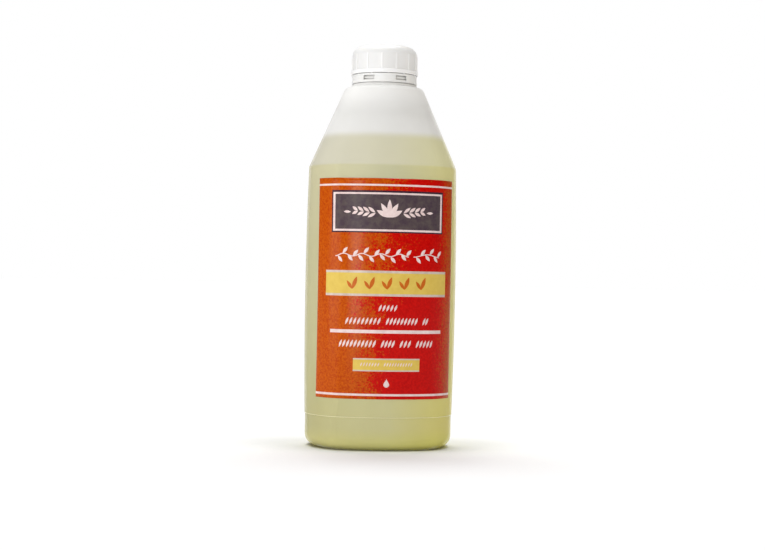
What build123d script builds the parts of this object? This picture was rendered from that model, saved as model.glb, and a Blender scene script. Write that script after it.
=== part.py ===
from build123d import *
import os
from math import radians, sin, sqrt

# One-litre massage oil bottle: a blow-moulded bottle with its filling, a label wrapped
# round the front, and a screw cap with a foam liner and a tamper band.
# The origin is the centre of the base, +Z is up and the front faces -Y. Millimetres.

# Body: each plan section is a front and a back arc, two side arcs, and corner arcs between
BODY_HALF_WIDTH = 45.0
BODY_HALF_DEPTH = 37.5
SWELL_WIDTH = 1.0  # how far the panels swell at the waist, each side
SWELL_DEPTH = 2.1
FRONT_RADIUS = 72.0
SIDE_RADIUS = 40.0
CORNER_RADIUS = 14.0
WALL = 1.1
FLOOR = 1.4

# Heights above the base
PARTING_HEIGHT = 20.0  # the base insert of the mould ends here
WAIST_HEIGHT = 88.0
CREASE_HEIGHT = 170.0  # the body turns into the shoulder
FILL_HEIGHT = 188.8
SHOULDER_TOP = 218.8

BASE_STEP = 0.3
BASE_ROUND = 7.5
CREASE_ROUND = 10.0
SHOULDER_ROUND = 3.5
SHOULDER_TOP_RADIUS = 23.6

# The base is pushed up inside a standing ring
RING_WIDTH = 10.5
PUSH_UP = 2.5

# Mould seam up both sides of the body
SEAM_WIDTH = 0.3
SEAM_PROUD = 0.1

# Neck finish
BORE_RADIUS = 15.0
COLLAR_RADIUS = 19.85
COLLAR_TOP = 220.4
NECK_RADIUS = 17.55
BEAD_RADIUS = 18.6
BEAD_BOTTOM = 223.2
BEAD_TOP = 225.4
BEAD_LAND = 0.8  # height of the bead's upright rim, under its sloping top
NECK_TOP = 240.0
LIP_CHAMFER = 0.8
NECK_FOOT_ROUND = 0.8

# Screw thread, six threads to the inch, right-handed
PITCH = 4.233
THREAD_RADIUS = 18.75
THREAD_START = 229.0
THREAD_TURNS = 1.75
THREAD_ROOT_WIDTH = 2.2
THREAD_CREST_WIDTH = 1.2
CAP_THREAD_CREST = 17.8
CAP_THREAD_ROOT_WIDTH = 2.0
CAP_THREAD_CREST_WIDTH = 1.0
CAP_THREAD_TURNS = 1.25
THREAD_CLEARANCE = 0.14  # along the axis, between the flanks that bear on each other
EMBED = 0.3  # how deep a thread or a rib is sunk into the wall that carries it

# Cap
CAP_BOTTOM = 226.6
CAP_TOP = 245.1
CAP_RADIUS = 19.95
CAP_INNER_RADIUS = 18.95
CROWN_RADIUS = 90.0
DOME_ROUND = 6.3
CAP_INNER_ROUND = 2.5
CROWN_RECESS_RADIUS = 12.5
CROWN_RECESS_DEPTH = 1.2
CROWN_RECESS_TAPER = 20.0
RIM_BEAD_RADIUS = 20.5
RIM_BEAD_HEIGHT = 2.4
RIM_BEAD_ROUND = 0.2
RIB_COUNT = 14
RIB_PROUD = 0.3
RIB_WIDTH = 0.9
RIB_TOP = 238.6
RIB_PHASE = 13.9 - 90.0  # the rib nearest the front, as an angle from +X

# Foam liner in the cap
LINER_RADIUS = 16.3
LINER_THICKNESS = 1.2

# Tamper band
BAND_BOTTOM = 220.9
BAND_TOP = 226.1
BAND_RADIUS = 19.95
BAND_INNER_RADIUS = 19.0
BAND_LIP_RADIUS = 17.95
BAND_LIP_HEIGHT = 1.1
WINDOW_COUNT = 6
WINDOW_ANGLE = 22.0
WINDOW_BOTTOM = 222.3
WINDOW_HEIGHT = 2.7
WINDOW_PHASE = 24.5 - 90.0
WINDOW_CUT = 4.0  # across the ring, so that each window goes right through
STUB_COUNT = 12
STUB_WIDTH = 0.8
STUB_HEIGHT = 0.45
STUB_DEPTH = 0.7

# Front label
LABEL_BOTTOM = 31.0
LABEL_TOP = 161.7
LABEL_HALF_WIDTH = 40.1  # across the bottle; it is 91 mm along the surface
LABEL_THICKNESS = 0.13
LABEL_GLUE = 0.02

OIL_GAP = 0.05

SEARCH = 0.1  # how far from its place an edge is looked for


def body_normals(half_width, half_depth):
    """Directions in which the corner arc meets the front arc and the side arc, at +X, +Y."""
    front_centre = Vector(0, half_depth - FRONT_RADIUS)
    side_centre = Vector(half_width - SIDE_RADIUS, 0)
    span = side_centre - front_centre
    to_front = FRONT_RADIUS - CORNER_RADIUS
    to_side = SIDE_RADIUS - CORNER_RADIUS
    along = (to_front**2 - to_side**2 + span.length**2) / (2 * span.length)
    across = sqrt(to_front**2 - along**2)
    unit = span.normalized()
    centre = front_centre + unit * along + Vector(unit.Y, -unit.X) * across
    return (centre - front_centre).normalized(), (centre - side_centre).normalized(), centre


def eight_arcs(height, front, side, start, middle, end):
    """A closed outline, alike in all four quarters: front and back arcs through (0, front),
    side arcs through (side, 0), and corner arcs through start, middle and end."""
    with BuildSketch(Plane.XY.offset(height)) as outline:
        with BuildLine():
            for sign in (-1, 1):
                ThreePointArc(
                    (-start.X, sign * start.Y), (0, sign * front), (start.X, sign * start.Y)
                )
                ThreePointArc((sign * end.X, -end.Y), (sign * side, 0), (sign * end.X, end.Y))
                for depth in (-1, 1):
                    corner = [(sign * at.X, depth * at.Y) for at in (start, middle, end)]
                    ThreePointArc(*corner)
        make_face()
    return outline.sketch


def body_section(height, swell, inset):
    """A plan section of the body, swollen by a share of the full swell and drawn in by inset."""
    half_width = BODY_HALF_WIDTH + swell * SWELL_WIDTH
    half_depth = BODY_HALF_DEPTH + swell * SWELL_DEPTH
    to_start, to_end, centre = body_normals(half_width, half_depth)
    corner = CORNER_RADIUS - inset
    start = centre + to_start * corner
    middle = centre + (to_start + to_end).normalized() * corner
    end = centre + to_end * corner
    return eight_arcs(height, half_depth - inset, half_width - inset, start, middle, end)


def shoulder_section(height, radius):
    """A circle in the same eight arcs as the body, so that the shoulder is smooth cones."""
    to_start, to_end, _ = body_normals(BODY_HALF_WIDTH, BODY_HALF_DEPTH)
    middle = (to_start + to_end).normalized() * radius
    return eight_arcs(height, radius, radius, to_start * radius, middle, to_end * radius)


def body(inset):
    """The body between the parting line and the shoulder crease, drawn in by inset."""
    with BuildPart() as shape:
        loft(
            sections=[
                body_section(PARTING_HEIGHT, 0, inset),
                body_section(WAIST_HEIGHT, 1, inset),
                body_section(CREASE_HEIGHT, 0, inset),
            ]
        )
    return shape.part


def hull(inset, floor):
    """Base, body and shoulder as one solid, drawn in by inset, standing at height floor."""
    with BuildPart() as shape:
        add(body(inset))
        loft(
            sections=[
                body_section(CREASE_HEIGHT, 0, inset),
                shoulder_section(SHOULDER_TOP - inset, SHOULDER_TOP_RADIUS - inset),
            ],
            ruled=True,
        )
        base_inset = inset + BASE_STEP
        loft(
            sections=[
                body_section(floor, 0, base_inset),
                body_section(PARTING_HEIGHT, 0, base_inset),
            ],
            ruled=True,
        )
        base = shape.edges().filter_by_position(Axis.Z, floor - SEARCH, floor + SEARCH)
        fillet(base, BASE_ROUND - inset)
        crease = shape.edges().filter_by_position(
            Axis.Z, CREASE_HEIGHT - SEARCH, CREASE_HEIGHT + SEARCH
        )
        fillet(crease, CREASE_ROUND - inset)
        top = shape.edges().group_by(Axis.Z)[-1]
        fillet(top, SHOULDER_ROUND - inset)
    return shape.part


def push_up(grow):
    """The hollow under the base, grown by the floor's thickness for the inside."""
    with BuildPart() as shape:
        loft(
            sections=[
                body_section(0, 0, RING_WIDTH - grow),
                body_section(PUSH_UP + grow, 0, RING_WIDTH + PUSH_UP - grow),
            ],
            ruled=True,
        )
    return shape.part


def thread(root_radius, crest_radius, root_width, crest_width, start_height, turns):
    """A helical ridge that stands from root_radius to crest_radius, sunk into its wall."""
    path = Helix(PITCH, PITCH * turns, root_radius, center=(0, 0, start_height))
    crest = crest_radius - root_radius
    sunk = -EMBED if crest > 0 else EMBED
    sunk_width = root_width + (root_width - crest_width) * EMBED / abs(crest)
    with BuildPart() as ridge:
        with BuildSketch(Plane(origin=path @ 0, x_dir=(1, 0, 0), z_dir=path % 0)):
            Polygon(
                (sunk, -sunk_width / 2),
                (crest, -crest_width / 2),
                (crest, crest_width / 2),
                (sunk, sunk_width / 2),
                align=None,
            )
        sweep(path=path, is_frenet=True)
    return ridge.part


os.makedirs("parts", exist_ok=True)

# Bottle: moulded wall, pushed-up base, side seams, and the neck with its thread
with BuildPart() as bottle:
    add(hull(0, 0))
    with BuildPart(mode=Mode.PRIVATE) as seam:
        with BuildSketch(Plane.XY.offset(PARTING_HEIGHT)):
            Rectangle(4 * BODY_HALF_WIDTH, SEAM_WIDTH)
        extrude(amount=CREASE_HEIGHT - PARTING_HEIGHT)
        add(body(-SEAM_PROUD), mode=Mode.INTERSECT)
    add(seam.part)
    add(push_up(0), mode=Mode.SUBTRACT)
    with BuildSketch(Plane.XZ):
        with BuildLine():
            Polyline(
                (0, SHOULDER_TOP - WALL),
                (COLLAR_RADIUS, SHOULDER_TOP - WALL),
                (COLLAR_RADIUS, COLLAR_TOP),
                (NECK_RADIUS, COLLAR_TOP),
                (NECK_RADIUS, BEAD_BOTTOM),
                (BEAD_RADIUS, BEAD_BOTTOM),
                (BEAD_RADIUS, BEAD_BOTTOM + BEAD_LAND),
                (NECK_RADIUS, BEAD_TOP),
                (NECK_RADIUS, NECK_TOP - LIP_CHAMFER),
                (NECK_RADIUS - LIP_CHAMFER, NECK_TOP),
                (0, NECK_TOP),
                close=True,
            )
        make_face()
    revolve(axis=Axis.Z)
    shoulder_circles = (
        bottle.edges()
        .filter_by(GeomType.CIRCLE)
        .filter_by_position(Axis.Z, SHOULDER_TOP - SEARCH, SHOULDER_TOP + SEARCH)
    )
    foot = shoulder_circles.filter_by(lambda edge: abs(edge.radius - COLLAR_RADIUS) < SEARCH)
    fillet(foot, NECK_FOOT_ROUND)
    add(
        thread(
            NECK_RADIUS,
            THREAD_RADIUS,
            THREAD_ROOT_WIDTH,
            THREAD_CREST_WIDTH,
            THREAD_START,
            THREAD_TURNS,
        )
    )
    with BuildPart(mode=Mode.PRIVATE) as cavity:
        add(hull(WALL, FLOOR))
        add(push_up(FLOOR), mode=Mode.SUBTRACT)
    add(cavity.part, mode=Mode.SUBTRACT)
    bore_bottom = SHOULDER_TOP - 2 * WALL
    with BuildSketch(Plane.XY.offset(bore_bottom)):
        Circle(BORE_RADIUS)
    extrude(amount=NECK_TOP - bore_bottom, mode=Mode.SUBTRACT)

bottle.part.label = "bottle"
export_step(bottle.part, "parts/bottle.step")

# Oil: fills the bottle to the level line
with BuildPart() as oil:
    add(hull(WALL + OIL_GAP, FLOOR + OIL_GAP))
    add(push_up(FLOOR + OIL_GAP), mode=Mode.SUBTRACT)
    split(bisect_by=Plane.XY.offset(FILL_HEIGHT), keep=Keep.BOTTOM)

oil.part.label = "oil"
export_step(oil.part, "parts/oil.step")

# Front label: a thin skin that follows the swollen front
with BuildPart() as front_label:
    add(body(-LABEL_GLUE - LABEL_THICKNESS))
    add(body(-LABEL_GLUE), mode=Mode.SUBTRACT)
    with BuildSketch(Plane.XZ):
        with Locations((0, (LABEL_BOTTOM + LABEL_TOP) / 2)):
            Rectangle(2 * LABEL_HALF_WIDTH, LABEL_TOP - LABEL_BOTTOM)
    extrude(amount=2 * BODY_HALF_DEPTH, mode=Mode.INTERSECT)

front_label.part.label = "front_label"
export_step(front_label.part, "parts/front_label.step")


def cap_shell(proud):
    """The cap's outside as a solid: bead, side and domed top, grown by proud above the bead."""
    radius = CAP_RADIUS + proud
    dome_round = DOME_ROUND + proud
    crown_radius = CROWN_RADIUS + proud
    crown_centre = CAP_TOP - CROWN_RADIUS
    dome_x = radius - dome_round
    dome_z = crown_centre + sqrt((crown_radius - dome_round) ** 2 - dome_x**2)
    reach = Vector(dome_x, dome_z - crown_centre).normalized()
    shoulder = (reach.X * crown_radius, crown_centre + reach.Y * crown_radius)
    turn = (reach + Vector(1, 0)).normalized() * dome_round
    with BuildPart() as shell:
        with BuildSketch(Plane.XZ):
            with BuildLine():
                Line((0, CAP_BOTTOM), (radius, CAP_BOTTOM))
                Line((radius, CAP_BOTTOM), (radius, dome_z))
                ThreePointArc((radius, dome_z), (dome_x + turn.X, dome_z + turn.Y), shoulder)
                rise = Vector(reach.X / 2, reach.Y).normalized() * crown_radius
                ThreePointArc(shoulder, (rise.X, crown_centre + rise.Y), (0, CAP_TOP + proud))
                Line((0, CAP_TOP + proud), (0, CAP_BOTTOM))
            make_face()
        revolve(axis=Axis.Z)
    return shell.part


# Cap: domed shell with upright ribs, a bead at the rim and a thread inside
LINER_TOP = NECK_TOP + LINER_THICKNESS
with BuildPart() as cap:
    with BuildPart(mode=Mode.PRIVATE) as ribs:
        with BuildSketch(Plane.XY.offset(CAP_BOTTOM + RIM_BEAD_HEIGHT / 2)):
            with PolarLocations(CAP_RADIUS, RIB_COUNT, start_angle=RIB_PHASE):
                Rectangle(2 * (RIB_PROUD + EMBED), RIB_WIDTH)
        extrude(amount=RIB_TOP - CAP_BOTTOM - RIM_BEAD_HEIGHT / 2)
        add(cap_shell(RIB_PROUD), mode=Mode.INTERSECT)
    add(cap_shell(0))
    add(ribs.part)
    with BuildSketch(Plane.XY.offset(CAP_BOTTOM)):
        Circle(RIM_BEAD_RADIUS)
    extrude(amount=RIM_BEAD_HEIGHT)
    circles = cap.edges().filter_by(GeomType.CIRCLE)
    bead_edges = circles.filter_by(lambda edge: abs(edge.radius - RIM_BEAD_RADIUS) < SEARCH)
    fillet(bead_edges, RIM_BEAD_ROUND)
    with BuildPart(mode=Mode.PRIVATE) as hollow:
        with BuildSketch(Plane.XY.offset(CAP_BOTTOM)):
            Circle(CAP_INNER_RADIUS)
        extrude(amount=LINER_TOP - CAP_BOTTOM)
        fillet(hollow.edges().group_by(Axis.Z)[-1], CAP_INNER_ROUND)
        with BuildSketch(Plane.XY.offset(LINER_TOP)):
            Circle(CROWN_RECESS_RADIUS)
        extrude(amount=CROWN_RECESS_DEPTH, taper=CROWN_RECESS_TAPER)
    add(hollow.part, mode=Mode.SUBTRACT)
    flank_gap = (THREAD_CREST_WIDTH + CAP_THREAD_ROOT_WIDTH) / 2 + THREAD_CLEARANCE
    add(
        thread(
            CAP_INNER_RADIUS,
            CAP_THREAD_CREST,
            CAP_THREAD_ROOT_WIDTH,
            CAP_THREAD_CREST_WIDTH,
            THREAD_START - flank_gap + PITCH,
            CAP_THREAD_TURNS,
        )
    )

cap.part.label = "cap"
export_step(cap.part, "parts/cap.step")

# Foam liner: a disc between the cap and the lip of the neck
with BuildPart() as cap_liner:
    with BuildSketch(Plane.XY.offset(NECK_TOP)):
        Circle(LINER_RADIUS)
    extrude(amount=LINER_THICKNESS)

cap_liner.part.label = "cap_liner"
export_step(cap_liner.part, "parts/cap_liner.step")

# Tamper band: a ring with a lip under the neck's bead, windows and snapped bridge stubs
with BuildPart() as tamper_band:
    with BuildSketch(Plane.XZ):
        Polygon(
            (BAND_INNER_RADIUS, BAND_TOP),
            (BAND_RADIUS, BAND_TOP),
            (BAND_RADIUS, BAND_BOTTOM),
            (BAND_LIP_RADIUS, BAND_BOTTOM),
            (BAND_LIP_RADIUS, BAND_BOTTOM + BAND_LIP_HEIGHT / 2),
            (BAND_INNER_RADIUS, BAND_BOTTOM + BAND_LIP_HEIGHT),
            align=None,
        )
    revolve(axis=Axis.Z)
    with BuildSketch(Plane.XY.offset(BAND_TOP)):
        with PolarLocations((BAND_RADIUS + BAND_INNER_RADIUS) / 2, STUB_COUNT):
            Rectangle(STUB_DEPTH, STUB_WIDTH)
    extrude(amount=STUB_HEIGHT)
    window_width = 2 * BAND_RADIUS * sin(radians(WINDOW_ANGLE / 2))
    with BuildSketch(Plane.XY.offset(WINDOW_BOTTOM)):
        with PolarLocations(BAND_RADIUS, WINDOW_COUNT, start_angle=WINDOW_PHASE):
            Rectangle(WINDOW_CUT, window_width)
    extrude(amount=WINDOW_HEIGHT, mode=Mode.SUBTRACT)

tamper_band.part.label = "tamper_band"
export_step(tamper_band.part, "parts/tamper_band.step")
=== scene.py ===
import math

import bmesh
import bpy
import numpy as np
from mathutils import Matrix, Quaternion, Vector


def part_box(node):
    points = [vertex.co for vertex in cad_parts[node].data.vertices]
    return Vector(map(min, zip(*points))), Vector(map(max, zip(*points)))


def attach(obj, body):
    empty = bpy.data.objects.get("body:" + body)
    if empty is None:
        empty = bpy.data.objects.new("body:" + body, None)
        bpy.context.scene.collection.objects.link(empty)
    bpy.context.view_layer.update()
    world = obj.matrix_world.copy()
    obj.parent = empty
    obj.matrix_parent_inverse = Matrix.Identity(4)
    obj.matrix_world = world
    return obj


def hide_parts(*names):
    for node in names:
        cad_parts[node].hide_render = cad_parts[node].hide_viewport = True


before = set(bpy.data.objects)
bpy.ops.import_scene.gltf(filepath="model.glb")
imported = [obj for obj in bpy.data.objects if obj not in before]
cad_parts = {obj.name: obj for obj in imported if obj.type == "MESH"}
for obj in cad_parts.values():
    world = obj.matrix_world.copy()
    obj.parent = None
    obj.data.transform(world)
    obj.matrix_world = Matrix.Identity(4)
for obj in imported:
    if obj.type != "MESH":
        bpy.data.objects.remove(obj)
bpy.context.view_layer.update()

# One-litre massage oil bottle: milky polyethylene, pale oil, a red label and a white screw cap.
# Metres, +Z up, front facing -Y, as the CAD frame has it.

MM = 0.001

# ---------------------------------------------------------------- the bottle's plan sections

SECTION_HEIGHTS = (20 * MM, 88 * MM, 170 * MM)  # parting line, waist and shoulder crease
SECTION_SWELLS = (0.0, 1.0, 0.0)
PARTING_HEIGHT, _, CREASE_HEIGHT = SECTION_HEIGHTS
HALF_WIDTH, HALF_DEPTH = 45 * MM, 37.5 * MM
SWELL_WIDTH, SWELL_DEPTH = 1.0 * MM, 2.1 * MM
FRONT_RADIUS, CORNER_RADIUS, SIDE_RADIUS = 72 * MM, 14 * MM, 40 * MM
ARC_STEPS = 48  # points along each arc of a section

FILL_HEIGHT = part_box("oil")[1].z
LABEL_LOW, LABEL_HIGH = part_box("front_label")


def section_arcs(swell):
    """Centres, radii and angles of the front, corner and side arcs, for the quarter at +X."""
    half_width = HALF_WIDTH + swell * SWELL_WIDTH
    half_depth = HALF_DEPTH + swell * SWELL_DEPTH
    front = np.array([0.0, half_depth - FRONT_RADIUS])
    side = np.array([half_width - SIDE_RADIUS, 0.0])
    to_front, to_side = FRONT_RADIUS - CORNER_RADIUS, SIDE_RADIUS - CORNER_RADIUS
    span = side - front
    length = np.linalg.norm(span)
    along = (to_front**2 - to_side**2 + length**2) / (2 * length)
    across = math.sqrt(to_front**2 - along**2)
    unit = span / length
    corner = front + unit * along + np.array([unit[1], -unit[0]]) * across
    first = math.atan2(*(corner - front))
    second = math.atan2(*(corner - side))
    return (
        (front, FRONT_RADIUS, 0.0, first),
        (corner, CORNER_RADIUS, first, second),
        (side, SIDE_RADIUS, second, math.pi / 2),
    )


def quarter_outline(height, lift):
    """Points (x, depth) from the middle of the front to the middle of the side, lifted off the
    surface. Heights between the three sections follow the same parabola as the CAD loft."""
    share = np.linspace(0.0, 1.0, ARC_STEPS)
    outline = 0.0
    for i, swell in enumerate(SECTION_SWELLS):
        weight = 1.0
        for j, other in enumerate(SECTION_HEIGHTS):
            if j != i:
                weight *= (height - other) / (SECTION_HEIGHTS[i] - other)
        arcs = []
        for centre, radius, start, end in section_arcs(swell):
            angle = start + (end - start) * share
            arcs.append(centre + (radius + lift) * np.c_[np.sin(angle), np.cos(angle)])
        outline = outline + weight * np.vstack(arcs)
    return outline


class FrontSurface:
    """Places points on the bottle's front by (distance along the surface, height)."""

    def __init__(self):
        self.rows = {}

    def row(self, height, lift):
        key = (round(height, 7), round(lift, 7))
        if key not in self.rows:
            outline = quarter_outline(height, lift)
            step = np.linalg.norm(np.diff(outline, axis=0), axis=1)
            self.rows[key] = (np.concatenate(([0.0], np.cumsum(step))), outline)
        return self.rows[key]

    def at(self, along, height, lift):
        distance, outline = self.row(height, lift)
        x = np.interp(abs(along), distance, outline[:, 0])
        depth = np.interp(abs(along), distance, outline[:, 1])
        return Vector((math.copysign(x, along), -depth, height))

    def reach(self, x, height):
        """How far along the surface it is to a given x."""
        distance, outline = self.row(height, 0.0)
        return float(np.interp(x, outline[:, 0], distance))


front = FrontSurface()


# ---------------------------------------------------------------- material helpers

NOISE_LOW, NOISE_HIGH = 0.3, 0.7  # most of a noise node's values lie between these
COLOUR_SHARE, COLOUR_FIRST, COLOUR_SECOND, COLOUR_RESULT = 0, 6, 7, 2  # a colour mix's sockets


class Graph:
    """A material and short calls to add nodes to it and link them."""

    def __init__(self, name):
        self.material = bpy.data.materials.new(name)
        self.material.use_nodes = True
        self.tree = self.material.node_tree
        self.tree.nodes.clear()
        self.output = self.tree.nodes.new("ShaderNodeOutputMaterial")
        self.shader = self.tree.nodes.new("ShaderNodeBsdfPrincipled")
        self.tree.links.new(self.shader.outputs["BSDF"], self.output.inputs["Surface"])
        self.coords = self.tree.nodes.new("ShaderNodeTexCoord").outputs["Object"]

    def set(self, **values):
        """Sets or links the shader's own sockets, by their names."""
        for name, value in values.items():
            self.link_or_set(self.shader.inputs[name.replace("_", " ")], value)

    def link_or_set(self, socket, value):
        if isinstance(value, bpy.types.NodeSocket):
            self.tree.links.new(value, socket)
        else:
            socket.default_value = value

    def node(self, kind, output=0, settings=None, **inputs):
        """One output of a new node. Its inputs go by name, or by number as i0, i1 and so on."""
        made = self.tree.nodes.new(kind)
        for name, value in (settings or {}).items():
            setattr(made, name, value)
        for name, value in inputs.items():
            by_number = name[0] == "i" and name[1:].isdigit()
            key = int(name[1:]) if by_number else name.replace("_", " ")
            self.link_or_set(made.inputs[key], value)
        return made.outputs[output]

    def noise(self, scale, detail=2.0, roughness=0.5):
        """Noise, with scale in features per metre."""
        return self.node(
            "ShaderNodeTexNoise",
            Vector=self.coords,
            Scale=scale,
            Detail=detail,
            Roughness=roughness,
        )

    def patches(self, scale, detail, to_low=0.0, to_high=1.0):
        """Noise spread out until it fills the range from to_low to to_high."""
        noise = self.noise(scale, detail)
        return self.ramp(noise, NOISE_LOW, NOISE_HIGH, to_low, to_high)

    def axis(self, name):
        """How far along X, Y or Z a place is, in metres."""
        return self.node("ShaderNodeSeparateXYZ", "XYZ".index(name), Vector=self.coords)

    def ramp(self, value, low, high, to_low=0.0, to_high=1.0, smooth=False):
        """Maps low and high to to_low and to_high, and holds those beyond."""
        kind = "SMOOTHSTEP" if smooth else "LINEAR"
        return self.node(
            "ShaderNodeMapRange",
            settings={"interpolation_type": kind, "clamp": True},
            i0=value,
            i1=low,
            i2=high,
            i3=to_low,
            i4=to_high,
        )

    def mix(self, share, first, second):
        made = self.tree.nodes.new("ShaderNodeMix")
        made.data_type = "RGBA"
        self.link_or_set(made.inputs[COLOUR_SHARE], share)
        self.link_or_set(made.inputs[COLOUR_FIRST], first)
        self.link_or_set(made.inputs[COLOUR_SECOND], second)
        return made.outputs[COLOUR_RESULT]

    def math(self, operation, first, second=0.0):
        return self.node(
            "ShaderNodeMath", settings={"operation": operation}, i0=first, i1=second
        )

    def bump(self, height, distance, strength):
        return self.node(
            "ShaderNodeBump", Height=height, Distance=distance, Strength=strength
        )


def srgb(red, green, blue):
    """A colour as a screen shows it, 0 to 255, in the linear values that shaders take."""
    channels = []
    for value in (red / 255, green / 255, blue / 255):
        channels.append(value / 12.92 if value <= 0.04045 else ((value + 0.055) / 1.055) ** 2.4)
    return (*channels, 1.0)


# ---------------------------------------------------------------- materials


WALL_IOR = 1.52  # of the bottle's wall
PLASTIC_IOR = 1.5  # of the cap, the band and the label's film

# The wall's tint over the oil, on the lit left side, in the middle and on the right side. The
# change from side to side is painted light: the right side's lighter, yellower tint is a painted
# glow. The shoulder's row is painted lighter for the light from above.
OIL_TINTS_AND_PAINTED_LIGHT = (
    ((232, 228, 210), (237, 233, 208), (246, 242, 194)),  # shoulder, above the crease
    ((229, 223, 185), (226, 223, 186), (246, 239, 170)),  # just below the crease
    ((214, 208, 152), (235, 231, 176), (246, 236, 134)),  # above the base
    ((233, 226, 156), (243, 239, 158), (250, 244, 128)),  # foot, where the floor's light gets in
)
TINT_VARIATION = 5  # how much the cloudy plastic differs from place to place
TINT_MIDDLE, TINT_SIDE = 2 * MM, 40 * MM  # the tint changes between these distances from the middle
LEVEL_TOP, LEVEL_BOTTOM = FILL_HEIGHT + 2.5 * MM, FILL_HEIGHT - 3.5 * MM  # soft edge of the oil
CREASE_BLUR = 0.8 * MM
# The painted glow low down, for the floor's light that gets in, fades in between these heights.
PAINTED_GLOW_TOP, PAINTED_GLOW_BOTTOM = 15 * MM, 3 * MM
# The empty wall is painted greyer towards the neck: painted shade, where the light from above falls
# strongest.
MILK_CHANGES = (188 * MM, 216 * MM)  # heights between which the empty wall gets greyer
MILK_THICKENS = (200 * MM, 216 * MM)  # heights between which it gets less clear
EMPTY_ALPHAS = (0.6, 0.94)
FILLED_ALPHA = 0.56


def bottle_plastic():
    """Natural polyethylene: milky and see-through, tinted where the oil is behind it. The tints
    hold painted light, and the upper empty wall is painted greyer as painted shade.
    """
    g = Graph("bottle_plastic")
    height = g.axis("Z")
    filled = g.ramp(height, LEVEL_TOP, LEVEL_BOTTOM, smooth=True)
    cloud = g.patches(38, 3)
    lower_milk = g.mix(cloud, srgb(251, 250, 247), srgb(255, 254, 252))
    # painted shade on the upper wall
    upper_milk_painted_shade = g.mix(cloud, srgb(243, 242, 239), srgb(249, 248, 245))
    milk = g.mix(g.ramp(height, *MILK_CHANGES), lower_milk, upper_milk_painted_shade)
    # the tints hold painted light: a painted glow on the right side and low down, and a lighter
    # shoulder under the light from above
    shoulder, upper, base, foot = [tint_and_painted_side_light(g, cloud, tints) for tints in OIL_TINTS_AND_PAINTED_LIGHT]
    crease_top, crease_bottom = CREASE_HEIGHT + CREASE_BLUR, CREASE_HEIGHT - CREASE_BLUR
    below_crease = g.ramp(height, crease_top, crease_bottom, smooth=True)
    depth = g.ramp(height, CREASE_HEIGHT, PARTING_HEIGHT)
    # painted glow low down, for the floor's light
    painted_glow_at_foot = g.ramp(height, PAINTED_GLOW_TOP, PAINTED_GLOW_BOTTOM, smooth=True)
    below = g.mix(painted_glow_at_foot, g.mix(depth, upper, base), foot)
    tinted = g.mix(below_crease, shoulder, below)
    g.set(
        Base_Color=g.mix(filled, milk, tinted),
        Roughness=g.patches(220, 4, 0.38, 0.5),
        IOR=WALL_IOR,
        Specular_IOR_Level=0.3,
    )
    empty_alpha = g.ramp(height, *MILK_THICKENS, *EMPTY_ALPHAS, smooth=True)
    full = g.math("MULTIPLY", filled, FILLED_ALPHA)
    empty = g.math("MULTIPLY", g.math("SUBTRACT", 1.0, filled), empty_alpha)
    g.set(Alpha=g.math("ADD", full, empty))
    peel = g.math("ADD", g.noise(900), g.math("MULTIPLY", g.noise(70), 3.0))
    g.set(Normal=g.bump(peel, 0.06 * MM, 0.5))
    return g.material


def tint_and_painted_side_light(g, cloud, tints):
    """A tint that goes from the left side's through the middle's to the right side's, whose lighter
    right side is a painted glow.
    """
    x = g.axis("X")
    to_middle = g.ramp(x, -TINT_SIDE, -TINT_MIDDLE)
    to_right = g.ramp(x, TINT_MIDDLE, TINT_SIDE)
    shades = []
    for more in (0, TINT_VARIATION):
        left, middle, right = [srgb(*[c + more for c in tint]) for tint in tints]
        shades.append(g.mix(to_right, g.mix(to_middle, left, middle), right))
    return g.mix(cloud, *shades)


OIL_DEPTH_TINT = (0.74, 0.72, 0.12, 1.0)
OIL_DENSITY = 16.0


def oil_liquid():
    """Pale yellow-green oil: clear, coloured by how much of it the light goes through."""
    g = Graph("oil")
    cloud = g.patches(16, 3)
    g.set(
        Base_Color=g.mix(cloud, srgb(248, 246, 220), srgb(252, 250, 231)),
        Roughness=g.patches(30, 2, 0.28, 0.36),
        IOR=1.47,
        Transmission_Weight=1.0,
    )
    depth_tint = g.node("ShaderNodeVolumeAbsorption", Color=OIL_DEPTH_TINT, Density=OIL_DENSITY)
    g.tree.links.new(depth_tint, g.output.inputs["Volume"])
    return g.material


# The ribbed cap's painted highlight on its crests and rim, and painted shade on its sunk crown:
CREST_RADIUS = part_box("cap")[1].x - 0.27 * MM  # of the cap's ribs, a little inside its rim
RIB_RISE = 0.2 * MM
CROWN_RADIUS = 12.5 * MM
CROWN_BLUR = 0.3 * MM
PAINTED_CREST_HIGHLIGHT, PAINTED_CROWN_SHADE = (253, 252, 251), (231, 230, 227)
SHADE_VARIATION = 4


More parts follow.
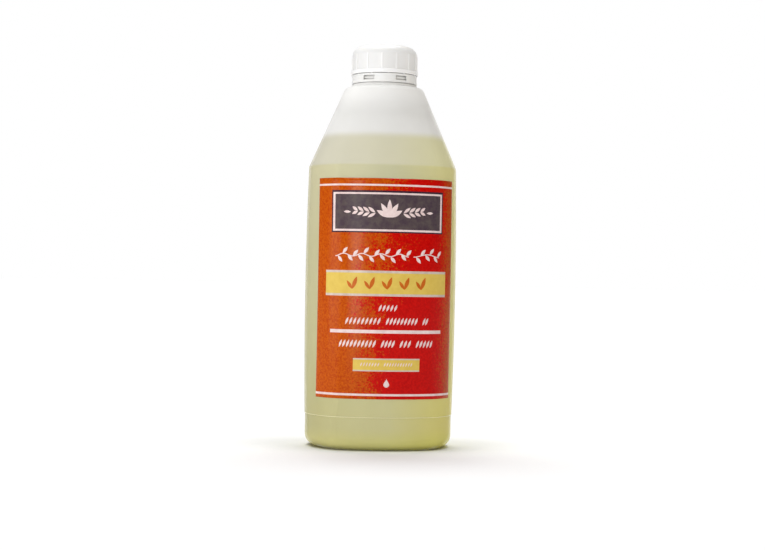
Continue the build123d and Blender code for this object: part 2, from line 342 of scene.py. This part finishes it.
def cap_plastic(name, shade, ribbed):
    """White moulded polyethylene with a satin skin and a fine spark-eroded grain. On a ribbed cap
    the crests and the rim are a little whiter as a painted highlight, and the sunk crown a little
    greyer as painted shade."""
    g = Graph(name)
    cloud = g.patches(60, 3)
    face = g.mix(cloud, srgb(*shade), srgb(*[c + SHADE_VARIATION for c in shade]))
    if ribbed:
        squares = [g.math("POWER", g.axis(axis), 2.0) for axis in "XY"]
        radius = g.math("SQRT", g.math("ADD", *squares))
        # painted highlight on the crests and the rim, painted shade on the sunk crown
        crest = g.ramp(radius, CREST_RADIUS - RIB_RISE, CREST_RADIUS)
        crown = g.ramp(radius, CROWN_RADIUS + CROWN_BLUR, CROWN_RADIUS - CROWN_BLUR)
        face = g.mix(crown, g.mix(crest, face, srgb(*PAINTED_CREST_HIGHLIGHT)), srgb(*PAINTED_CROWN_SHADE))
    g.set(
        Base_Color=face,
        Roughness=g.patches(500, 4, 0.34, 0.46),
        IOR=PLASTIC_IOR,
        Subsurface_Weight=0.25,
        Subsurface_Radius=(1.0, 0.95, 0.85),
        Subsurface_Scale=1.5 * MM,
    )
    g.set(Normal=g.bump(g.noise(2600), 0.03 * MM, 0.4))
    return g.material


def moulded_edge():
    """The parting line's thin ridge: solid plastic, paler than the wall with oil behind it, partly
    as a painted highlight of the light that the ridge catches.
    """
    g = Graph("moulded_edge")
    cloud = g.patches(38, 3)
    g.set(
        Base_Color=g.mix(cloud, srgb(222, 218, 176), srgb(232, 228, 188)),
        Roughness=g.patches(220, 4, 0.34, 0.44),
        IOR=WALL_IOR,
    )
    return g.material


def liner_foam():
    """Off-white foam with fine cells."""
    g = Graph("liner_foam")
    cells = g.node("ShaderNodeTexVoronoi", Vector=g.coords, Scale=1800.0)
    g.set(
        Base_Color=g.mix(cells, srgb(228, 227, 222), srgb(240, 239, 235)),
        Roughness=0.8,
        Normal=g.bump(cells, 0.1 * MM, 0.6),
    )
    return g.material


# The label's colour goes from orange to red across its middle, and to brown at its right edge.
GRAIN_SCATTER, DRIFT_SCATTER = 150 * MM, 60 * MM  # how far fine and coarse noise move a colour
SCATTER_HEIGHTS, SCATTER_SHARES = (60 * MM, 130 * MM), (0.5, 1.0)  # more of it higher up
LEAN_HEIGHTS, LEANS = (85 * MM, 160 * MM), (-3 * MM, 11 * MM)  # the border leans right higher up
RED_PLACES, BROWN_PLACES = (-14 * MM, -2 * MM), (32 * MM, 40 * MM)
BROWN_SCATTER = 40 * MM


def label_red():
    """Printed film: orange to the left and deep red to the right, broken up by a fine mottle."""
    g = Graph("label_red")
    x = g.axis("X")
    grain = g.math("SUBTRACT", g.noise(800, detail=4, roughness=0.8), 0.5)
    drift = g.math("SUBTRACT", g.noise(130, detail=3), 0.5)
    height = g.axis("Z")
    loose = g.ramp(height, *SCATTER_HEIGHTS, *SCATTER_SHARES)
    fine = g.math("MULTIPLY", grain, GRAIN_SCATTER)
    coarse = g.math("MULTIPLY", drift, DRIFT_SCATTER)
    scatter = g.math("MULTIPLY", g.math("ADD", fine, coarse), loose)
    lean = g.ramp(height, *LEAN_HEIGHTS, *LEANS)
    place = g.math("SUBTRACT", g.math("ADD", x, scatter), lean)
    across = g.ramp(place, *RED_PLACES, smooth=True)
    ragged = g.math("ADD", x, g.math("MULTIPLY", grain, BROWN_SCATTER))
    edge = g.ramp(ragged, *BROWN_PLACES, smooth=True)
    speckle = g.ramp(g.noise(760, detail=3, roughness=0.7), 0.38, 0.62)
    orange = g.mix(speckle, srgb(184, 66, 3), srgb(205, 94, 10))
    red = g.mix(speckle, srgb(190, 2, 1), srgb(211, 14, 6))
    brown = g.mix(speckle, srgb(174, 66, 2), srgb(193, 90, 6))
    g.set(
        Base_Color=g.mix(edge, g.mix(across, orange, red), brown),
        Roughness=g.patches(300, 3, 0.16, 0.22),
        IOR=PLASTIC_IOR,
        Specular_IOR_Level=0.09,
        Normal=film_ripple(g),
    )
    return g.material


def film_ripple(g):
    """The slight waviness of the film and of what is printed on it."""
    return g.bump(g.noise(45), 0.3 * MM, 0.35)


def print_ink(name, low, high, roughness=0.34):
    """A printed colour on the label, slightly uneven as ink is."""
    g = Graph(name)
    uneven = g.ramp(g.noise(260, detail=4, roughness=0.6), 0.35, 0.65)
    g.set(
        Base_Color=g.mix(uneven, srgb(*low), srgb(*high)),
        Roughness=g.patches(300, 3, roughness - 0.05, roughness + 0.05),
        IOR=PLASTIC_IOR,
        Specular_IOR_Level=0.12,
        Normal=film_ripple(g),
    )
    return g.material


def matte_floor():
    """Plain pale studio paper."""
    g = Graph("studio_floor")
    g.set(Base_Color=srgb(247, 247, 247), Roughness=0.9, Specular_IOR_Level=0.1)
    return g.material


# ---------------------------------------------------------------- the label

# The plain rectangles of the print, in mm: (slot, half-width along the surface, bottom, top).
# Later ones lie over earlier ones. None is the film's full width.
LABEL_PRINT = (
    ("cream", None, 157.1, 158.2),
    ("cream", None, 32.9, 34.2),
    ("ink", 35.5, 129.4, 154.4),
    ("cream", 34.6, 130.2, 153.2),
    ("panel", 33.1, 131.4, 152.1),
    ("silver", 39.3, 91.9, 107.0),
    ("gold", 39.3, 93.3, 105.6),
    ("cream", 35.4, 70.0, 72.0),
    ("silver", 20.1, 47.5, 55.2),
    ("gold", 20.1, 48.3, 54.4),
)
SLOTS = ("film", "cream", "ink", "panel", "silver", "gold", "back", "orange")
FILM_LIFT = 0.015 * MM
FILM_THICKNESS = 0.085 * MM
COLUMN_STEP = 1.6 * MM
ROW_STEP = 2.2 * MM


def add_piece(name, made, materials):
    """The finished mesh as a piece that rides on the bottle."""
    mesh = bpy.data.meshes.new(name)
    made.to_mesh(mesh)
    made.free()
    for material in materials:
        mesh.materials.append(material)
    piece = bpy.data.objects.new(name, mesh)
    bpy.context.scene.collection.objects.link(piece)
    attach(piece, "bottle")
    return piece


def filled_in(edges, step):
    """The edges in order, with even points added so that no gap is wider than step."""
    edges = sorted(set(round(e, 6) for e in edges))
    values = [edges[0]]
    for low, high in zip(edges, edges[1:]):
        pieces = max(1, math.ceil((high - low) / step))
        values += [low + (high - low) * (i + 1) / pieces for i in range(pieces)]
    return values


def label_slot(along, height):
    """The slot printed at a place on the label."""
    found = "film"
    for slot, half_width, bottom, top in LABEL_PRINT:
        inside = half_width is None or abs(along) < half_width * MM
        if inside and bottom * MM < height < top * MM:
            found = slot
    return found


def build_label(materials):
    """The film as a thin closed sheet, its faces split along the edges of the print."""
    bottom, top = LABEL_LOW.z, LABEL_HIGH.z
    half_width = LABEL_HIGH.x
    reach = front.reach(half_width, (bottom + top) / 2)
    print_edges = [w * MM for _, w, _, _ in LABEL_PRINT if w is not None]
    mirrored = [-edge for edge in print_edges]
    columns = filled_in([-reach, 0.0, reach] + print_edges + mirrored, COLUMN_STEP)
    print_rows = [z * MM for _, _, low, high in LABEL_PRINT for z in (low, high)]
    rows = filled_in([bottom, top] + print_rows, ROW_STEP)
    made = bmesh.new()
    sheets = []
    for lift in (FILM_LIFT + FILM_THICKNESS, FILM_LIFT):
        sheet = []
        for height in rows:
            stretch = front.reach(half_width, height) / reach
            line = []
            for along in columns:
                outer = stretch if abs(along) > max(print_edges) else 1.0
                line.append(made.verts.new(front.at(along * outer, height, lift)))
            sheet.append(line)
        sheets.append(sheet)
    outside, inside = sheets
    last_row, last_column = len(rows) - 1, len(columns) - 1
    for r in range(last_row):
        for c in range(last_column):
            face = made.faces.new(
                (outside[r][c], outside[r][c + 1], outside[r + 1][c + 1], outside[r + 1][c])
            )
            middle = ((columns[c] + columns[c + 1]) / 2, (rows[r] + rows[r + 1]) / 2)
            face.material_index = SLOTS.index(label_slot(*middle))
            face.smooth = True
            back = made.faces.new(
                (inside[r][c], inside[r + 1][c], inside[r + 1][c + 1], inside[r][c + 1])
            )
            back.material_index = SLOTS.index("back")
            back.smooth = True
    rim = [(0, c) for c in range(last_column)]
    rim += [(r, last_column) for r in range(last_row)]
    rim += [(last_row, c) for c in range(last_column, 0, -1)]
    rim += [(r, 0) for r in range(last_row, 0, -1)]
    for (r, c), (r2, c2) in zip(rim, rim[1:] + rim[:1]):
        edge = made.faces.new((outside[r][c], inside[r][c], inside[r2][c2], outside[r2][c2]))
        edge.material_index = SLOTS.index("back")
    film = add_piece("label_film", made, [materials[slot] for slot in SLOTS])
    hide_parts("front_label")
    return film


# Leaves and drops stand where the real label has words. Each printed stroke is a pair of edges,
# two lists of (x, z) points in mm that run side by side from one end of the stroke to the other.
PRINT_LIFT = FILM_LIFT + FILM_THICKNESS
PRINT_THICKNESS = 0.025 * MM
PRINT_LEVEL = 0.004 * MM  # strokes that overlap stand this much apart
PRINT_LEVELS = 5
TIP = 0.06  # half the width that a leaf keeps at its ends, in mm


def swelling(x, z, length, half_widths, turn):
    """A stroke centred at (x, z), turned from upright, that swells along its length."""
    cos, sin = math.cos(math.radians(turn)), math.sin(math.radians(turn))
    edges = ([], [])
    for i, half_width in enumerate(half_widths):
        run = (i / (len(half_widths) - 1) - 0.5) * length
        for edge, side in zip(edges, (-half_width, half_width)):
            edge.append((x + side * cos + run * sin, z - side * sin + run * cos))
    return edges


def leaf(x, z, length, width, turn, steps=12):
    """A leaf centred at (x, z), pointed at both ends."""
    swell = [math.sin(math.pi * i / steps) ** 0.85 for i in range(steps + 1)]
    return swelling(x, z, length, [max(TIP, width / 2 * s) for s in swell], turn)


def drop(x, z, length, width, steps=20):
    """An upright drop: round below and pointed above."""
    shares = [i / steps for i in range(steps + 1)]
    swell = [math.sin(math.pi * s**0.72) * (1 - s) ** 0.45 for s in shares]
    fullest = max(swell)
    return swelling(x, z, length, [max(TIP, width / 2 * s / fullest) for s in swell], 0)


def wavy_stem(start, end, z, rise, period, stroke, steps=14):
    """A wavy line of even width, and the height of its middle at a place."""
    count = max(1, round((end - start) / period))
    rate = 2 * math.pi * count / (end - start)

    def middle(x):
        return z - rise * math.cos(rate * (x - start))

    edges = ([], [])
    for i in range(count * steps + 1):
        x = start + (end - start) * i / (count * steps)
        slope = rise * rate * math.sin(rate * (x - start))
        length = math.hypot(1, slope)
        for edge, side in zip(edges, (stroke / 2, -stroke / 2)):
            edge.append((x - side * slope / length, middle(x) + side / length))
    return edges, middle


def add_stroke(made, edges, index, level):
    """A printed stroke as one closed skin: its face, its back, its sides and its ends."""
    high = PRINT_LIFT + PRINT_THICKNESS + level * PRINT_LEVEL
    low = PRINT_LIFT - PRINT_THICKNESS
    rings = []
    for one, other in zip(*edges):
        places = ((one, high), (other, high), (other, low), (one, low))
        rings.append([made.verts.new(front.at(x * MM, z * MM, lift)) for (x, z), lift in places])
    faces = [rings[0], rings[-1][::-1]]
    for ring, following in zip(rings, rings[1:]):
        for i in range(4):
            j = (i + 1) % 4
            faces.append((ring[j], ring[i], following[i], following[j]))
    for corners in faces:
        made.faces.new(corners).material_index = index


def leaf_from(x, z, length, width, turn, gap=0.0):
    """A leaf that grows out of (x, z), or that starts a gap away from it."""
    reach = gap + length / 2
    lean = math.radians(turn)
    return leaf(x + reach * math.sin(lean), z + reach * math.cos(lean), length, width, turn)


def lotus(x, z):
    """Five petals that open from one point."""
    petals = ((0, 10.5), (32, 9.6), (-32, 9.6), (62, 8.6), (-62, 8.6))
    return [leaf_from(x, z, length, 2.9, turn) for turn, length in petals]


def laurel(side):
    """A leafy sprig beside the lotus: pairs of leaves and one at its tip."""
    leaves = []
    for i in range(4):
        x = side * (10.6 + 3.3 * i)
        leaves.append(leaf(x, 142.9 + 0.2 * i, 5.2 - 0.45 * i, 1.7, side * 52))
        leaves.append(leaf(x, 139.7 + 0.5 * i, 5.2 - 0.45 * i, 1.7, side * 118))
    leaves.append(leaf(side * 25.2, 141.6, 4.4, 1.5, side * 88))
    return leaves


VINE_SPACING = 3.2  # from leaf to leaf, in mm


def vine(start, end, z):
    """A wavy stem from start to end with leaves on both sides."""
    stem, middle = wavy_stem(start, end, z, rise=0.8, period=12.0, stroke=0.55)
    leaves = []
    count = max(2, round((end - start) / VINE_SPACING))
    for i in range(count):
        x = start + (i + 0.5) * (end - start) / count
        turn = 40 if i % 2 else 140
        leaves.append(leaf_from(x, middle(x), 4.6, 1.9, turn, gap=0.25))
    return [stem] + leaves


def sprout(x, z):
    """Two leaves that open from one point."""
    return [leaf_from(x, z, 6.0, 1.9, -34), leaf_from(x, z, 7.8, 2.4, 20)]


GRASS_TURN = 22


def grass(groups, z, length, width, spacing):
    """A line of slanted leaves in groups, each group from its start to its end."""
    leaves = []
    for start, end in groups:
        count = max(1, round((end - start) / spacing))
        for i in range(count):
            x = start + (i + 0.5) * (end - start) / count
            leaves.append(leaf(x, z, length, width, GRASS_TURN))
    return leaves


# Where the groups of leaves begin and end in each line of grass, from the top line down.
ONE_GROUP = ((-5.8, 5.8),)
THREE_GROUPS = ((-25.5, -4.0), (-1.2, 18.5), (21.6, 25.2))
FOUR_GROUPS = ((-29.2, -6.6), (-3.8, 4.6), (7.3, 14.6), (17.4, 28.8))
TWO_GROUPS = ((-16.0, -4.2), (-2.0, 15.8))


def build_motifs(materials):
    """The printed leaves and the drop, in the rows that they fill from top to bottom."""
    made = bmesh.new()
    rows = (
        ("cream", lotus(0, 138.6)),
        ("cream", laurel(-1)),
        ("cream", laurel(1)),
        ("cream", vine(-32.6, 12.0, 116.2)),
        ("cream", vine(15.0, 32.8, 116.2)),
        ("orange", [stroke for i in range(5) for stroke in sprout(-21.4 + 10.4 * i, 96.0)]),
        ("cream", grass(ONE_GROUP, 85.0, 4.2, 1.3, 2.4)),
        ("cream", grass(THREE_GROUPS, 77.2, 4.6, 1.3, 2.3)),
        ("cream", grass(FOUR_GROUPS, 63.8, 4.8, 1.35, 2.35)),
        ("cream", grass(TWO_GROUPS, 51.6, 2.5, 0.7, 1.6)),
        ("cream", [drop(0, 40.6, 5.2, 3.4)]),
    )
    for slot, strokes in rows:
        for i, stroke in enumerate(strokes):
            add_stroke(made, stroke, SLOTS.index(slot), i % PRINT_LEVELS)
    return add_piece("label_print", made, [materials[slot] for slot in SLOTS])


# ---------------------------------------------------------------- the mould's parting line

PARTING_BEAD = 0.18 * MM  # half the ridge's height
BEAD_FULLNESS, BEAD_SINK = 0.8, 0.5  # how far it bulges, and how deep its back is in the wall
BEAD_STEPS = 6
SAME_PLACE = 1e-7  # points closer than this are one


def whole_outline(height, lift):
    """The full closed outline of the bottle at a height, as points (x, y)."""
    points = quarter_outline(height, lift)
    gaps = np.linalg.norm(np.diff(points, axis=0), axis=1)
    quarter = [tuple(point) for point in points[np.append(True, gaps > SAME_PLACE)]]
    right = [(x, -d) for x, d in quarter] + [(x, d) for x, d in reversed(quarter[:-1])]
    left = [(-x, y) for x, y in reversed(right[1:-1])]
    return right + left


def build_parting_line(material):
    """The fine ridge that the mould leaves where its base insert begins."""
    made = bmesh.new()
    rings = []
    for i in range(BEAD_STEPS + 1):
        angle = math.pi * i / BEAD_STEPS - math.pi / 2
        lift = PARTING_BEAD * (math.cos(angle) * BEAD_FULLNESS - BEAD_SINK)
        height = PARTING_HEIGHT + PARTING_BEAD * math.sin(angle)
        outline = whole_outline(PARTING_HEIGHT, lift)
        rings.append([made.verts.new((x, y, height)) for x, y in outline])
    count = len(rings[0])
    for low, high in zip(rings, rings[1:] + rings[:1]):
        for i in range(count):
            j = (i + 1) % count
            made.faces.new((low[i], low[j], high[j], high[i])).smooth = True
    add_piece("parting_line", made, [material])


# ---------------------------------------------------------------- assembling


def give(node, material):
    """A CAD node keeps its shape and takes this material."""
    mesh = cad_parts[node].data
    mesh.materials.clear()
    mesh.materials.append(material)


give("bottle", bottle_plastic())
build_parting_line(moulded_edge())
give("oil", oil_liquid())
give("cap", cap_plastic("cap_plastic", (238, 237, 235), ribbed=True))
give("tamper_band", cap_plastic("band_plastic", (243, 242, 239), ribbed=False))
give("cap_liner", liner_foam())

label_materials = {
    "film": label_red(),
    "cream": print_ink("label_cream", (232, 205, 202), (246, 226, 222)),
    "ink": print_ink("label_ink", (58, 30, 44), (70, 38, 52)),
    "panel": print_ink("label_panel", (76, 60, 70), (94, 82, 80)),
    "silver": print_ink("label_silver", (205, 186, 172), (222, 206, 194), roughness=0.3),
    "gold": print_ink("label_gold", (224, 191, 88), (231, 200, 96)),
    "back": print_ink("label_back", (226, 214, 206), (236, 226, 220), roughness=0.6),
    "orange": print_ink("label_orange", (196, 92, 22), (208, 108, 30)),
}
label_pieces = [build_label(label_materials), build_motifs(label_materials)]


# ---------------------------------------------------------------- camera, floor and light


# The view: from a little to the left, level, and turned slightly about the line of sight.
CAMERA_PLACE = (-0.1202, -1.0066, 0.1045)
CAMERA_DIRECTION = (0.1197, 0.9928, 0.0)
CAMERA_ROLL = 0.0194
CAMERA_LENS = 77.76


def look(position, direction, roll, lens):
    """The scene's camera, level before it is rolled."""
    data = bpy.data.cameras.new("photo_camera")
    data.sensor_width = 36.0
    data.lens = lens
    data.clip_start, data.clip_end = 0.05, 50.0
    camera = bpy.data.objects.new("photo_camera", data)
    bpy.context.scene.collection.objects.link(camera)
    camera.location = position
    turned = Vector(direction).to_track_quat("-Z", "Y")
    camera.rotation_mode = "QUATERNION"
    camera.rotation_quaternion = turned @ Quaternion((0, 0, 1), roll)
    bpy.context.scene.camera = camera


look(CAMERA_PLACE, CAMERA_DIRECTION, CAMERA_ROLL, CAMERA_LENS)


FLOOR_SIZE = 30.0
AMBIENT = 0.18
MIDDLE = (0, 0, 0.12)  # what the lamps point at
WHITE, WARM = (1.0, 1.0, 1.0), (1.0, 0.76, 0.38)
SUNS = (  # name, where it stands, energy, angle across in degrees
    ("high_left_sun", (-0.20, -0.05, 1.0), 0.84, 15),
    ("high_right_sun", (0.20, -0.05, 1.0), 0.74, 15),
    ("back_left_sun", (-0.18, 0.50, 1.0), 0.84, 26),
    ("back_right_sun", (0.18, 0.50, 1.0), 0.78, 26),
)
SOFTBOXES = (  # name, place, energy, colour, width, height, whether it lights the label
    ("left_softbox", (-0.47, -1.01, 0.16), 5.1, WHITE, 0.20, 0.9, True),
    ("side_softbox", (-1.05, -0.35, 0.35), 3.0, WHITE, 0.4, 0.8, True),
    ("warm_reflector", (0.95, -0.25, 0.06), 1.1, WARM, 0.5, 0.4, False),
    ("back_softbox", (0.55, 1.00, 0.30), 0.9, WHITE, 0.5, 0.8, True),
)


def stage_floor():
    """The floor that the bottle stands on, as far as the camera sees."""
    bpy.ops.mesh.primitive_plane_add(size=FLOOR_SIZE, location=(0, 0, 0))
    floor = bpy.context.object
    floor.name = "studio_floor"
    floor.data.materials.append(matte_floor())
    return floor


def add_light(name, kind, position, target, **values):
    """A lamp at position that points at target. A sun's own place doesn't matter."""
    data = bpy.data.lights.new(name, kind)
    for key, value in values.items():
        setattr(data, key, value)
    lamp = bpy.data.objects.new(name, data)
    bpy.context.scene.collection.objects.link(lamp)
    lamp.location = position
    lamp.rotation_mode = "QUATERNION"
    lamp.rotation_quaternion = (Vector(target) - Vector(position)).to_track_quat("-Z", "Y")
    return lamp


def background(tree, strength):
    """Even white light of this strength."""
    shader = tree.nodes.new("ShaderNodeBackground")
    shader.inputs["Color"].default_value = (*WHITE, 1.0)
    shader.inputs["Strength"].default_value = strength
    return shader.outputs["Background"]


def studio_world():
    """White all round where the camera sees it, and a softer white as light."""
    world = bpy.data.worlds.new("studio")
    world.use_nodes = True
    tree = world.node_tree
    tree.nodes.clear()
    output = tree.nodes.new("ShaderNodeOutputWorld")
    path = tree.nodes.new("ShaderNodeLightPath")
    choose = tree.nodes.new("ShaderNodeMixShader")
    tree.links.new(path.outputs["Is Camera Ray"], choose.inputs[0])
    tree.links.new(background(tree, AMBIENT), choose.inputs[1])
    tree.links.new(background(tree, 1.0), choose.inputs[2])
    tree.links.new(choose.outputs[0], output.inputs["Surface"])
    bpy.context.scene.world = world


def all_but(name, left_out):
    """A collection that lets a lamp light everything but these objects."""
    receivers = bpy.data.collections.new(name)
    for thing in left_out:
        receivers.objects.link(thing)
    for member in receivers.collection_objects:
        member.light_linking.link_state = "EXCLUDE"
    return receivers


def studio():
    """Suns light all. The softboxes light only the bottle, so that the floor stays even, and the
    warm reflector misses the label too, so that its red stays deep."""
    floor = stage_floor()
    studio_world()
    all_but_floor = all_but("all_but_floor", [floor])
    all_but_label = all_but("all_but_floor_and_label", [floor] + label_pieces)
    for name, place, energy, spread in SUNS:
        add_light(name, "SUN", place, (0, 0, 0), energy=energy, angle=math.radians(spread))
    for name, place, energy, colour, width, tall, lights_label in SOFTBOXES:
        size = {"shape": "RECTANGLE", "size": width, "size_y": tall}
        lamp = add_light(name, "AREA", place, MIDDLE, energy=energy, color=colour, **size)
        receivers = all_but_floor if lights_label else all_but_label
        lamp.light_linking.receiver_collection = receivers


studio()
bpy.context.scene.view_settings.view_transform = "Standard"
